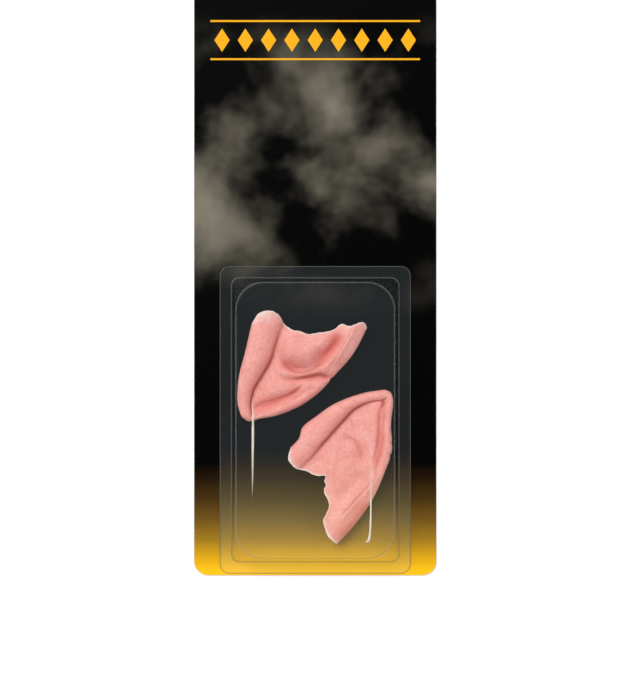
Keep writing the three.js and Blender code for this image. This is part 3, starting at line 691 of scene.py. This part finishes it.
def fold_heights(folds, places, settings):
    """Height that folds add at many places. Each fades out towards both ends of its path."""
    flat = places.reshape(-1, 2)
    total = np.zeros(len(flat))
    for _, rise, half_width, knots in folds:
        path = smooth_path(knots, FOLD_STEPS) * (settings.width, settings.length)
        nearest = np.full(len(flat), np.inf)
        along = np.zeros(len(flat))
        for i in range(FOLD_STEPS):
            step = path[i + 1] - path[i]
            offset = flat - path[i]
            share = np.clip(offset @ step / (step @ step), 0, 1)
            distance = np.linalg.norm(offset - share[:, None] * step, axis=1)
            closer = distance < nearest
            nearest[closer] = distance[closer]
            along[closer] = (i + share[closer]) / FOLD_STEPS
        fade = smoothstep(np.minimum(along, 1 - along), 0, FOLD_FADE)
        total += rise * settings.depth * fade * bell(nearest, half_width * settings.width)
    return total.reshape(places.shape[:-1])


def rough(places, layers, seed):
    """Uneven heights at many places. Each layer has the size of its patches and its strength."""
    lattice = np.random.default_rng(seed).uniform(-1, 1, (16, 16, 16))
    total = 0
    for patch, strength in layers:
        cell = np.floor(places / patch).astype(int)
        t = smoothstep(places / patch - cell, 0, 1)
        for corner in itertools.product((0, 1), repeat=3):
            share = np.prod(np.where(corner, t, 1 - t), axis=-1)
            i, j, k = np.moveaxis((cell + corner) % 16, -1, 0)
            total = total + strength * share * lattice[i, j, k]
    return total


# Points along each stretch of an ear's section, and rings from the tip, at 0, to the mouth, at 1
ROLL_STEPS = 34
FLOOR_STEPS = 104
RIM_STEPS = 14
UNDER_STEPS = 24
EAR_RINGS = 220
FIRST_RING = 0.004
RING_CROWDING = 1.15  # over 1, the rings crowd towards the tip

# Forms that all sections share
ROLL_CREST = 0.45  # where the roll is highest, as a share of its width
ROLL_SQUARENESS = 0.72  # 1 is a round outer side of the roll, and less is squarer
FLANK_SQUARENESS = 0.52  # the same for its inner flank
SIDE_HEIGHT = 0.45  # where both edges are widest, as a share of the height over them
RIM_START = 0.6  # where the floor starts to rise to the back rim, as a share of the floor
CREASE_SHARPNESS = 5  # the higher, the narrower the crease beside the roll
RIM_ROUND = 4.6 * MM
MOST_RIM_ROUND = 0.25  # as a share of the section's width
UNDER_ROUND = 5.2 * MM
MOST_UNDER_ROUND = 0.3
LEAST_CAVITY = 0.6 * MM

# Forms along the ear: the round tip, the notches, the hollow, and how far in the mouth's edge reaches
TIP_LENGTH = 0.09
NOTCH_HALF_WIDTH = 0.011
CAVITY_START = 0.2
FEATHER_START = 0.85
BACK_SETBACK = 1.6 * MM
MOUTH_FADE = 3  # the higher, the less far the mouth's curve reaches in
TORN_FADE = 20  # the same for its torn edge

# Unevenness: the size of its patches in metres, and how strong it is
TORN_LAYERS = ((3 * MM, 0.35 * MM), (1.2 * MM, 0.2 * MM))
SKIN_LAYERS = ((9 * MM, 0.3 * MM), (4 * MM, 0.16 * MM), (1.5 * MM, 0.06 * MM))
TONE_LAYERS = ((4 * MM, 1), (1.5 * MM, 0.6))

# Painted shade: depths of a fold and of a fine fold at which each is fully shaded, as shares of the
# ear's depth, half widths of the painted shade and the dark line at the roll's foot, as shares of the
# section, and how much of each tone shows inside the hollow
FULL_SHADE_DEPTH = 0.2
FULL_SHADE_LINE_DEPTH = 0.06
CREASE_SHADE_BAND, FLANK_SHADE_BAND, CREASE_SHADE_LINE = 0.03, 0.07, 0.016
TONE_INSIDE = {"fold_shade": 0.5, "crease_shade_line": 0, "thin_edge_and_highlight": 0.6}


def section_outlines(row, chord, depth):
    """Closed outlines of all sections: places across, heights, how far folds act, the underside.

    Each runs from the helix edge over the front to the back edge, and home along the underside.
    """
    roll = row["roll"] * chord
    top, floor, crease, rim = [row[key] * depth for key in ("top", "floor", "crease", "rim")]
    helix_side, back_side = top * SIDE_HEIGHT, rim * SIDE_HEIGHT
    rim_round = np.minimum(RIM_ROUND, chord * MOST_RIM_ROUND)
    under_round = np.minimum(UNDER_ROUND, chord * MOST_UNDER_ROUND)

    # The roll is squared on its outer side, and its inner flank falls ever steeper to the crease
    turn = np.linspace(0, math.pi / 2, ROLL_STEPS // 2 + 1)
    crest = ROLL_CREST * roll
    outside_across = crest * (1 - np.cos(turn) ** ROLL_SQUARENESS)
    outside_height = helix_side + (top - helix_side) * np.sin(turn) ** ROLL_SQUARENESS
    fall = np.sin(turn)[1:]
    flank_height = crease + (top - crease) * np.maximum(np.cos(math.pi / 2 * fall), 0) ** FLANK_SQUARENESS

    q = np.linspace(0, 1, FLOOR_STEPS + 1)[1:]
    end = chord - rim_round
    to_rim = (rim - floor) * smoothstep(q, RIM_START, 1)
    floor_height = floor + to_rim - (floor - crease) * (1 - q) ** CREASE_SHARPNESS

    turn = np.linspace(0, math.pi / 2, RIM_STEPS + 1)[1:]
    rim_height = back_side + (rim - back_side) * np.cos(turn)

    home = np.linspace(0, 1, UNDER_STEPS + 1)[1:-1]
    home_across = chord * (0.5 + 0.5 * np.cos(math.pi * home))
    to_edge = np.minimum(home_across, chord - home_across)
    side = np.where(home_across < chord / 2, helix_side, back_side)
    in_round = np.maximum(0, 1 - to_edge / under_round)

    def whole(*parts):
        shaped = [np.broadcast_to(part, (len(chord), part.shape[-1])) for part in parts]
        return np.concatenate(shaped, axis=1)

    across = whole(
        outside_across, crest + (roll - crest) * fall, roll + (end - roll) * q,
        end + rim_round * np.sin(turn), home_across,
    )
    height = whole(
        outside_height, flank_height, floor_height, rim_height, side * (1 - np.sqrt(1 - in_round**2)),
    )
    unfolded = np.zeros(ROLL_STEPS + 1)
    folded = whole(unfolded, smoothstep(q, 0, FOLD_START), np.cos(turn), home * 0)
    under = np.arange(across.shape[1]) > ROLL_STEPS + FLOOR_STEPS + RIM_STEPS
    return across, height, folded, under


def ear_sections(ear, settings):
    """Every section of an ear from tip to mouth, as arrays with a row for each."""
    at = FIRST_RING + (1 - FIRST_RING) * np.linspace(0, 1, EAR_RINGS) ** RING_CROWDING
    row = {c: read_column(ear["sections"], SECTION_COLUMNS, c, at)[:, None] for c in SECTION_COLUMNS}
    at = at[:, None]
    helix = np.hstack([row["helix_x"] * settings.width, row["helix_y"] * settings.length])
    back = np.hstack([row["back_x"] * settings.width, row["back_y"] * settings.length])
    for spot, depth in ear["notches"]:
        back -= depth * bell(at - spot, NOTCH_HALF_WIDTH) * (back - helix)
    chord = np.linalg.norm(back - helix, axis=1)[:, None]
    side = (back - helix) / chord
    forward = np.column_stack([-side[:, 1], side[:, 0]])
    across, height, folded, under = section_outlines(row, chord, settings.depth)

    # The mouth's torn edge, which doesn't reach far in
    share = np.clip(across / chord, 0, 1)
    setback = under * BACK_SETBACK * np.sin(math.pi * share)
    beyond = read_column(ear["mouth"], MOUTH_COLUMNS, "beyond", share) * settings.length
    along_edge = np.stack([share * chord, share * 0, share * 0], axis=-1)
    torn = rough(along_edge, TORN_LAYERS, ear["seed"])
    ahead = (beyond - setback) * at**MOUTH_FADE + torn * at**TORN_FADE
    plan = helix[:, None] + across[..., None] * side[:, None] + ahead[..., None] * forward[:, None]

    # The hollow follows the core, which has no raised fine folds and no uneven skin
    relief = fold_heights(ear["folds"], plan, settings)
    fine = fold_heights(ear["fine_folds"], plan, settings)
    skin = rough(np.dstack([plan, height]), SKIN_LAYERS, ear["seed"] + 1) * smoothstep(at, 0, 0.1) * ~under
    least = 2 * settings.wall + LEAST_CAVITY
    deepened = height + (relief + np.minimum(fine, 0)) * folded
    core = np.where(folded > 0, np.maximum(deepened, least), height)
    raised = height + (relief + fine) * folded
    height = np.where(folded > 0, np.maximum(raised, least), height) + skin
    middle = row["rim"] * settings.depth / 2
    tip_round = np.sqrt(1 - np.maximum(0, 1 - at / TIP_LENGTH) ** 2)
    return {
        "at": at,
        "share": share,
        "roll": row["roll"],
        "helix": helix,
        "side": side,
        "forward": forward,
        "across": across,
        "ahead": ahead,
        "height": middle + (height - middle) * tip_round,
        "core": middle + (core - middle) * tip_round,
        "plan": plan,
        "places": np.dstack([plan, height]),
        "from_crease": (across - across[:, ROLL_STEPS : ROLL_STEPS + 1]) / chord,
        "relief": relief,
        "fine": fine,
        "torn": torn,
        "folded": folded,
        "under": under,
    }


def ear_marks(ear, settings, sections):
    """How much painted shade lies in folds and creases and how thin the latex is at every point, which
    its material reads. Over the roll's end the thin latex is also a painted highlight.
    """
    at, fine, folded, under = [sections[key] for key in ("at", "fine", "folded", "under")]
    patchy = rough(sections["places"], TONE_LAYERS, ear["seed"] + 2)

    # Painted shade: deeper pink lies in folds and hollows, at the roll's foot and up its flank, which is
    # turned from the light, and less towards the mouth
    gap = sections["from_crease"]
    front = ~under * smoothstep(at, 0.04, 0.12)
    blush_and_shade = 0.4 * bell(gap, CREASE_SHADE_BAND) + 0.4 * (gap < 0) * bell(gap, FLANK_SHADE_BAND)
    blush_and_shade = blush_and_shade * front * (1 - 0.75 * smoothstep(at, 0.65, 1))
    hollow_shade = fold_heights(ear["hollow_shades"], sections["plan"], settings) / settings.depth * ~under
    deep = -(sections["relief"] + 1.5 * fine) / (FULL_SHADE_DEPTH * settings.depth)
    deep = np.clip(deep, 0, 1) * folded

    # Painted shade: dark lines lie at the bottom of creases and fine folds
    creased = bell(gap, CREASE_SHADE_LINE) * front * (1 - 0.8 * smoothstep(at, 0.68, 1))
    lines = np.clip(-fine / (FULL_SHADE_LINE_DEPTH * settings.depth), 0, 1) * folded

    # Latex runs out to a pale line at the mouth, and is thin for a way behind it, most on the roll,
    # where the pale end is also a painted highlight
    pale_line = ear["pale_line"]
    line = smoothstep((at - 1) / np.maximum(pale_line + 10 * sections["torn"], pale_line / 2), -1, 0)
    thin_roll_end_and_highlight = smoothstep((at - 1) / (ear["pale_end"] * (1 + 0.5 * patchy)), -1, 0)
    thin_roll_end_and_highlight = thin_roll_end_and_highlight * (1 - smoothstep(sections["share"] / sections["roll"], 0.4, 0.85))
    thin_and_highlight = np.maximum(0.3 * smoothstep((at - 1) / 0.03, -1, 0), 0.8 * thin_roll_end_and_highlight) * (0.8 + 0.2 * patchy)
    return {
        "fold_shade": np.clip(0.4 * deep + blush_and_shade + hollow_shade, 0, 1),
        "crease_shade_line": np.maximum(0.85 * creased, 0.35 * lines) * (0.85 + 0.15 * patchy),
        "thin_edge_and_highlight": np.clip(np.maximum(line, thin_and_highlight), 0, 1),
    }


def ear_rings(sections, which, inset, hand, heights):
    """Outlines of the chosen sections as points, moved in by inset square to themselves."""
    across, height = sections["across"][which], sections[heights][which]
    run_across = np.roll(across, -1, axis=1) - np.roll(across, 1, axis=1)
    run_up = np.roll(height, -1, axis=1) - np.roll(height, 1, axis=1)
    run = np.maximum(np.hypot(run_across, run_up), 1e-9)
    moved = (across + inset * run_up / run)[..., None] * sections["side"][which][:, None]
    ahead = sections["ahead"][which][..., None] * sections["forward"][which][:, None]
    plan = sections["helix"][which][:, None] + moved + ahead
    return np.dstack([plan[..., 0] * hand, plan[..., 1], height - inset * run_across / run])


def loft_faces(ring_count, point_count, turned):
    """Faces of a closed surface: first pole, rings, last pole."""
    last = ring_count * point_count + 1
    faces = []
    for p in range(point_count):
        q = (p + 1) % point_count
        faces.append((0, 1 + q, 1 + p))
        base = 1 + (ring_count - 1) * point_count
        faces.append((last, base + p, base + q))
        for r in range(ring_count - 1):
            a, b = 1 + r * point_count, 1 + (r + 1) * point_count
            faces.append((a + p, a + q, b + q, b + p))
    return [face[::-1] for face in faces] if turned else faces


def mesh_object(name, vertices, faces, smooth=True):
    """A new object in the scene with a mesh of its own."""
    mesh = bpy.data.meshes.new(name)
    mesh.from_pydata([tuple(v) for v in vertices], [], faces)
    mesh.polygons.foreach_set("use_smooth", [smooth] * len(mesh.polygons))
    mesh.update()
    made = bpy.data.objects.new(name, mesh)
    bpy.context.scene.collection.objects.link(made)
    return made


def point_attribute(mesh, name, values):
    """Keeps one number for each vertex, which a material can read."""
    made = mesh.attributes.new(name, "FLOAT", "POINT")
    made.data.foreach_set("value", np.asarray(values, np.float32))


def build_ear(ear, node, settings, material):
    """One hollow ear tip, laid where its solid lies."""
    hand = ear["hand"]
    sections = ear_sections(ear, settings)
    at = sections["at"][:, 0]
    everywhere = np.arange(len(at))
    hollow = everywhere[at > CAVITY_START][::-1]
    outer = ear_rings(sections, everywhere, 0, hand, "height")
    feather = smoothstep(at[hollow], FEATHER_START, 1)[:, None]
    wall = settings.wall + (settings.edge_wall - settings.wall) * feather
    inner = ear_rings(sections, hollow, wall, hand, "core")
    end_level = settings.wall + np.where(sections["under"], LEAST_CAVITY / 2, LEAST_CAVITY)
    inner[-1][:, 2] = np.minimum(inner[-1][:, 2], end_level)

    rings = np.concatenate([outer, inner])
    tip = (0, 0, outer[0][:, 2].mean())
    vertices = np.vstack([tip, rings.reshape(-1, 3), inner[-1].mean(axis=0)])
    turn = math.radians(ear["turn"])
    cos, sin = math.cos(turn), math.sin(turn)
    rotation = np.array(((cos, -sin, 0), (sin, cos, 0), (0, 0, 1)))
    vertices = vertices @ rotation.T
    low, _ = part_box(node)
    vertices += np.array(low) - vertices.min(axis=0)

    made = mesh_object(node + "_latex", vertices, loft_faces(len(rings), rings.shape[1], hand < 0))
    for name, values in ear_marks(ear, settings, sections).items():
        inside = values[hollow].ravel() * TONE_INSIDE[name]
        point_attribute(made.data, name, np.concatenate([[0.0], values.ravel(), inside, [0.0]]))
    made.data.materials.append(material)
    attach(made, "root")
    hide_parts(node)
    return made


def rounded_ring(width, length, corner, height, middle, steps=16):
    """A rounded rectangle of points at one height."""
    points = []
    for quarter, (sign_x, sign_y) in enumerate(((1, 1), (-1, 1), (-1, -1), (1, -1))):
        for i in range(steps + 1):
            turn = math.pi / 2 * (quarter + i / steps)
            points.append(
                (
                    middle[0] + sign_x * (width / 2 - corner) + corner * math.cos(turn),
                    middle[1] + sign_y * (length / 2 - corner) + corner * math.sin(turn),
                    height,
                )
            )
    return points


def film_side(size, inset, settings, middle):
    """One side of the blister's film, from the foot of the bubble to the edge of its face."""
    width, length, depth = size
    steps = 8
    foot_round, edge_round = 0.8 * MM, 1.4 * MM
    base_corner, face_corner = 3.4 * MM, 13.5 * MM
    profile = []
    for i in range(steps + 1):
        turn = math.pi / 2 * i / steps
        foot = foot_round + inset
        profile.append((foot * math.sin(turn) - foot_round, foot_round - foot * math.cos(turn)))
    for i in range(steps + 1):
        turn = math.pi / 2 * i / steps
        edge = edge_round - inset
        profile.append((edge_round - edge * math.cos(turn), depth - edge_round + edge * math.sin(turn)))
    rings = []
    for inwards, height in profile:
        rise = min(max(height / depth, 0), 1)
        drawn = inwards + settings.draft * rise
        corner = base_corner + (face_corner - base_corner) * rise - inwards
        level = BLISTER_LOW.z + settings.film + height
        rings.append(rounded_ring(width - 2 * drawn, length - 2 * drawn, corner, level, middle))
    return rings


def streak_ridge_mesh(path, half_widths, height, base):
    """A low ridge that tapers to nothing at both ends, as vertices and faces of a closed mesh."""
    vertices, faces = [], []
    path = np.array(path, float)
    along = np.gradient(path, axis=0)
    along /= np.linalg.norm(along, axis=1)[:, None]
    side = np.column_stack([along[:, 1], -along[:, 0]])
    sunk = 0.05 * MM
    widest = max(half_widths)
    for place, out, half in zip(path, side, half_widths):
        for offset, lift in ((-1, -sunk), (0, height * min(1, half / widest)), (1, -sunk)):
            spot = place + out * offset * half
            vertices.append((spot[0], spot[1], base + lift))
    for i in range(len(path) - 1):
        a, b = 3 * i, 3 * i + 3
        faces += [(a, a + 1, b + 1, b), (a + 1, a + 2, b + 2, b + 1), (a + 2, a, b, b + 2)]
    faces += [(0, 2, 1), (3 * len(path) - 3, 3 * len(path) - 2, 3 * len(path) - 1)]
    return vertices, faces


def build_blister(settings, film, crease):
    """The clear blister, with two low ridges in its face that carry painted glints."""
    middle = ((BLISTER_LOW.x + BLISTER_HIGH.x) / 2, (BLISTER_LOW.y + BLISTER_HIGH.y) / 2)
    flange_width = BLISTER_HIGH.x - BLISTER_LOW.x
    flange_length = BLISTER_HIGH.y - BLISTER_LOW.y
    depth = BLISTER_HIGH.z - BLISTER_LOW.z - settings.film
    size = (flange_width - 2 * settings.rim, flange_length - 2 * settings.rim, depth)
    flange_corner = 4.5 * MM

    def flange(height, inset=0):
        return rounded_ring(
            flange_width - 2 * inset, flange_length - 2 * inset, flange_corner - inset, height, middle
        )

    # The seal leaves the flange a hair above the print, and the die rounds its cut edge over
    seal = 0.06 * MM
    cut = 0.35 * MM
    past_cut = cut * 1.1
    under_side = film_side(size, settings.film, settings, middle)[::-1]
    upper_side = film_side(size, 0, settings, middle)
    rings = [
        *under_side,
        flange(BLISTER_LOW.z + seal, past_cut),
        flange(BLISTER_LOW.z + seal),
        flange(BLISTER_LOW.z + settings.film / 2),
        flange(BLISTER_LOW.z + settings.film * 0.9, cut / 2),
        flange(BLISTER_LOW.z + settings.film, cut),
        flange(BLISTER_LOW.z + settings.film, past_cut),
        *upper_side,
    ]
    # How milky each ring is: none below, the cut edge, and above by its number from the bubble's foot
    milky = {2: 0.5, 3: 1, 4: 1, 5: 1, 6: 0.5, 12: 0.5, 13: 1, 14: 0.5}
    below, cut_edge = [0.0] * (len(under_side) + 1), [0.6, 1, 1, 0.8, 0.0]
    bends = below + cut_edge + [milky.get(i, 0.0) for i in range(len(upper_side))]
    first, last = np.mean(rings[0], axis=0), np.mean(rings[-1], axis=0)
    vertices = [tuple(first), *[point for ring in rings for point in ring], tuple(last)]
    bend_and_glint_values = [0.0, *np.repeat(bends, len(rings[0])), 0.0]
    faces = loft_faces(len(rings), len(rings[0]), False)
    film_faces = len(faces)

    # Painted glints on two low ridges of the bubble's face: places and half widths in millimetres, and
    # how strong each painted glint is
    creases = (
        {
            "path": ((-29.3, -56), (-29.2, -64), (-29.2, -72), (-29.3, -84), (-29.4, -95), (-29.5, -102.5)),
            "half": (0.1, 0.42, 0.6, 0.5, 0.28, 0.05),
            "glint_strength": (0.3, 0.75, 0.85, 0.7, 0.5, 0.2),
        },
        {
            "path": ((26.0, -69), (26.1, -80), (26.2, -92), (26.1, -104), (25.9, -115), (25.5, -120),
                     (24.9, -122.6), (23.4, -123.2)),
            "half": (0.05, 0.18, 0.3, 0.38, 0.44, 0.5, 0.62, 0.1),
            "glint_strength": (0.15, 0.25, 0.45, 0.8, 0.95, 1, 1, 0.8),
        },
    )
    steps = 48
    glint_ridge_height = 0.22 * MM
    for each in creases:
        path = smooth_path(each["path"], steps) * MM
        half, glint_strength = smooth_path(list(zip(each["half"], each["glint_strength"])), steps).T
        more, more_faces = streak_ridge_mesh(path, half * MM, glint_ridge_height, BLISTER_HIGH.z)
        faces += [tuple(i + len(vertices) for i in face) for face in more_faces]
        vertices += more
        # The ridges carry their painted glint strength in the bend attribute
        bend_and_glint_values += list(np.repeat(glint_strength, len(more) // len(path)))

    made = mesh_object("blister_film", vertices, faces)
    point_attribute(made.data, "bend", bend_and_glint_values)
    made.data.materials.append(film)
    # The second material is the painted glint of the ridges
    made.data.materials.append(crease)
    for polygon in made.data.polygons[film_faces:]:
        polygon.material_index = 1
    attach(made, "root")
    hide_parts("blister")
    return made


def build_card(settings, printed, bare):
    """The backing card, printed on its face and bare on its edges and back."""
    middle = ((CARD_LOW.x + CARD_HIGH.x) / 2, (CARD_LOW.y + CARD_HIGH.y) / 2)
    width, length = CARD_HIGH.x - CARD_LOW.x, CARD_HIGH.y - CARD_LOW.y
    press = 0.06 * MM

    def outline(inset, height):
        return rounded_ring(width - 2 * inset, length - 2 * inset, settings.corner - inset, height, middle)

    # The cutting die rounds the printed edge over and leaves the back edge crisp
    rings = [
        outline(press * 0.4, CARD_LOW.z),
        outline(0, CARD_LOW.z + press * 0.4),
        outline(0, CARD_HIGH.z - press),
        outline(press * 0.3, CARD_HIGH.z - press * 0.3),
        outline(press, CARD_HIGH.z),
    ]
    vertices = [(*middle, CARD_LOW.z), *[point for ring in rings for point in ring], (*middle, CARD_HIGH.z)]
    made = mesh_object("backing_card_board", vertices, loft_faces(len(rings), len(rings[0]), False), False)
    made.data.materials.append(printed)
    made.data.materials.append(bare)
    for polygon in made.data.polygons:
        polygon.material_index = 0 if polygon.normal.z > 0.5 else 1
    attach(made, "root")
    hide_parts("backing_card")
    return made


def aim(thing, place, target):
    """Puts a light or camera at a place and points it at another."""
    thing.location = place
    thing.rotation_euler = (Vector(target) - Vector(place)).to_track_quat("-Z", "Y").to_euler()


def soft_light(name, place, target, size, power):
    """A square area light."""
    lamp = bpy.data.lights.new(name, "AREA")
    lamp.size = size
    lamp.energy = power
    made = bpy.data.objects.new(name, lamp)
    bpy.context.scene.collection.objects.link(made)
    aim(made, place, target)
    return made


def studio_world():
    """A studio that is dark overhead, so that glossy black stays black, and pale to the sides."""
    world = bpy.data.worlds.new("studio")
    world.use_nodes = True
    tree = world.node_tree
    tree.nodes.clear()
    direction = add_node(tree, "ShaderNodeTexCoord").outputs["Generated"]
    height = add_node(tree, "ShaderNodeSeparateXYZ", {"Vector": direction}).outputs["Z"]
    glow = add_node(
        tree, "ShaderNodeMapRange",
        {"Value": height, "From Min": 0.92, "From Max": 0.5, "To Min": 0.0, "To Max": 0.85},
        interpolation_type="SMOOTHSTEP",
    ).outputs["Result"]
    light = add_node(tree, "ShaderNodeBackground", {"Color": linear("#eef1f4"), "Strength": glow})
    add_node(tree, "ShaderNodeOutputWorld", {"Surface": light.outputs["Background"]})
    return world


class EARTIPS_OT_ear_tips(bpy.types.Operator):
    """Build the right and left latex ear tips"""

    bl_idname = "ear_tips.build_ear_tips"
    bl_label = "Ear Tips"

    def execute(self, context):
        settings = context.scene.ear_tip_settings
        latex = cast_latex(settings)
        build_ear(RIGHT_EAR, "right_ear_tip", settings, latex)
        build_ear(LEFT_EAR, "left_ear_tip", settings, latex)
        return {"FINISHED"}


class EARTIPS_OT_blister(bpy.types.Operator):
    """Build the clear blister over the ear tips"""

    bl_idname = "ear_tips.build_blister"
    bl_label = "Blister"

    def execute(self, context):
        settings = context.scene.blister_settings
        build_blister(settings, thermoformed_film(settings), glint_streak_film(settings))
        return {"FINISHED"}


class EARTIPS_OT_card(bpy.types.Operator):
    """Build the printed backing card"""

    bl_idname = "ear_tips.build_card"
    bl_label = "Backing Card"

    def execute(self, context):
        settings = context.scene.card_settings
        build_card(settings, coated_print(settings), bare_board(settings))
        return {"FINISHED"}


class EARTIPS_OT_stage(bpy.types.Operator):
    """Set the floor, the lights and the camera"""

    bl_idname = "ear_tips.build_stage"
    bl_label = "Stage"

    def execute(self, context):
        settings = context.scene.stage_settings
        half = 3.0
        corners = [(-half, -half, 0), (half, -half, 0), (half, half, 0), (-half, half, 0)]
        floor = mesh_object("floor", corners, [(0, 1, 2, 3)], False)
        floor.data.materials.append(painted_floor(settings))

        target = (0, -0.04, 0)
        soft_light("key_light", (-1.35, 1.4, 3.3), target, size=2.3, power=settings.key_power)
        soft_light("fill_light", (2.4, -1.2, 1.9), target, size=2.0, power=settings.fill_power)
        context.scene.world = studio_world()

        # The photo looks square on at the card
        frame_height = PHOTO_HEIGHT * PIXEL
        lens, sensor = 300, 36
        camera = bpy.data.cameras.new("photo_camera")
        camera.lens = lens
        camera.sensor_width = sensor
        camera.clip_end = 20
        made = bpy.data.objects.new("photo_camera", camera)
        context.scene.collection.objects.link(made)
        made.location = (*PHOTO_MIDDLE, frame_height * lens / sensor)
        context.scene.camera = made
        context.scene.view_settings.view_transform = "Standard"
        return {"FINISHED"}


class EARTIPS_PT_panel(bpy.types.Panel):
    """Lists the pieces and their settings in the 3D view's sidebar"""

    bl_idname = "EARTIPS_PT_panel"
    bl_label = "Ear Tips"
    bl_space_type = "VIEW_3D"
    bl_region_type = "UI"
    bl_category = "Ear Tips"

    def draw(self, context):
        for operator, settings_name in STEPS:
            self.layout.operator(operator.bl_idname)
            settings = getattr(context.scene, settings_name)
            for prop in settings.bl_rna.properties:
                if not prop.is_readonly and prop.identifier != "name":
                    self.layout.prop(settings, prop.identifier)


# Each operator with the settings that it reads, in the order in which they run
STEPS = (
    (EARTIPS_OT_stage, "stage_settings"),
    (EARTIPS_OT_card, "card_settings"),
    (EARTIPS_OT_ear_tips, "ear_tip_settings"),
    (EARTIPS_OT_blister, "blister_settings"),
)
SETTINGS = {
    "ear_tip_settings": EarTipSettings,
    "blister_settings": BlisterSettings,
    "card_settings": CardSettings,
    "stage_settings": StageSettings,
}
CLASSES = (*SETTINGS.values(), *[step[0] for step in STEPS], EARTIPS_PT_panel)


def register():
    """Adds the classes and the settings to Blender."""
    for cls in CLASSES:
        bpy.utils.register_class(cls)
    for name, group in SETTINGS.items():
        setattr(bpy.types.Scene, name, bpy.props.PointerProperty(type=group))


def unregister():
    """Takes them out again."""
    for name in SETTINGS:
        delattr(bpy.types.Scene, name)
    for cls in reversed(CLASSES):
        bpy.utils.unregister_class(cls)


def main():
    """Builds the whole scene."""
    register()
    bpy.ops.ear_tips.build_stage()
    bpy.ops.ear_tips.build_card()
    bpy.ops.ear_tips.build_ear_tips()
    bpy.ops.ear_tips.build_blister()


if __name__ == "__main__":
    main()
